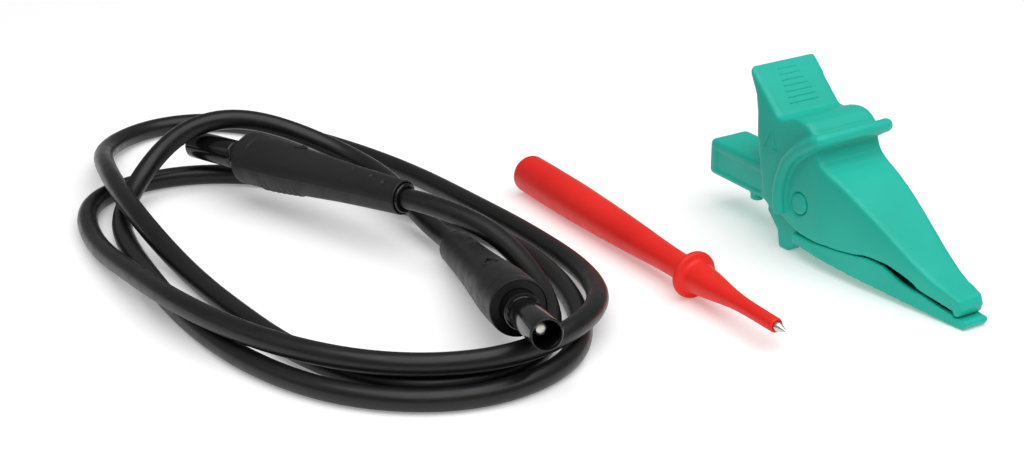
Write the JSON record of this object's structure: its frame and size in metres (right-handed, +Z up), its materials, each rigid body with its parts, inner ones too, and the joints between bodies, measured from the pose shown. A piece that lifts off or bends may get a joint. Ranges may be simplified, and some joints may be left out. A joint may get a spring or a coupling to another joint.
{
  "type": "oscilloscope test lead set with probe and dolphin clip",
  "caption": "Black shielded test lead with a shrouded 4 mm plug at each end, a red test probe and a teal dolphin clip that push onto the plugs.",
  "frame": {"origin": "bottom centre of the box round the plugs, probe and clip as they lie on the bench", "axes": "+X along the row from the coiled lead to the clip, +Y away from the viewer, +Z up from the bench"},
  "size_m": [0.2392, 0.1869, 0.0473],
  "materials": {
    "black_soft_grip": "soft satin, slightly rubbery",
    "black_cable_jacket": "smooth flexible jacket with a slight sheen",
    "black_gloss_plastic": "glossy hard plastic",
    "red_plastic": "smooth moulded, half gloss",
    "teal_plastic": "moulded, satin",
    "nickel_plate": "bright plated",
    "spring_steel": "drawn wire"
  },
  "bodies": {
    "lead": {"cable": "black_cable_jacket", "plug_a_grip": "black_soft_grip", "plug_a_cable_bush": "black_gloss_plastic", "plug_a_ferrule": "nickel_plate", "plug_a_core": "black_soft_grip", "plug_a_shroud": "black_gloss_plastic", "plug_a_pin": "nickel_plate", "plug_a_spring_cage": "nickel_plate", "plug_b_grip": "black_soft_grip", "plug_b_cable_bush": "black_gloss_plastic", "plug_b_ferrule": "nickel_plate", "plug_b_core": "black_soft_grip", "plug_b_shroud": "black_gloss_plastic", "plug_b_pin": "nickel_plate", "plug_b_spring_cage": "nickel_plate"},
    "probe": {"probe_handle": "red_plastic", "probe_socket_tube": "nickel_plate", "probe_contact_rod": "nickel_plate"},
    "clip": {"clip_lower_jaw": "teal_plastic", "clip_socket_tube": "nickel_plate", "clip_conductor_strip": "nickel_plate", "clip_lower_contact": "nickel_plate", "clip_pivot_pin": "teal_plastic", "clip_spring": "spring_steel"},
    "clip_jaw": {"clip_upper_jaw": "teal_plastic", "clip_upper_contact": "nickel_plate"}
  },
  "joints": [
    {"name": "probe_lift", "type": "slide", "parent": "lead", "child": "probe", "axis": [0, 0, 1], "range_m": [0, 0.08]},
    {"name": "clip_lift", "type": "slide", "parent": "lead", "child": "clip", "axis": [0, 0, 1], "range_m": [0, 0.08]},
    {"name": "clip_jaw_hinge", "type": "hinge", "parent": "clip", "child": "clip_jaw", "pos_m": [0.07244, 0.01721, 0.0163], "axis": [-0.8434, -0.5373, 0], "range_deg": [0, 32], "stiffness_Nm_per_rad": 0.25, "springref_deg": -17.19, "deforming": ["clip_spring"]}
  ]
}
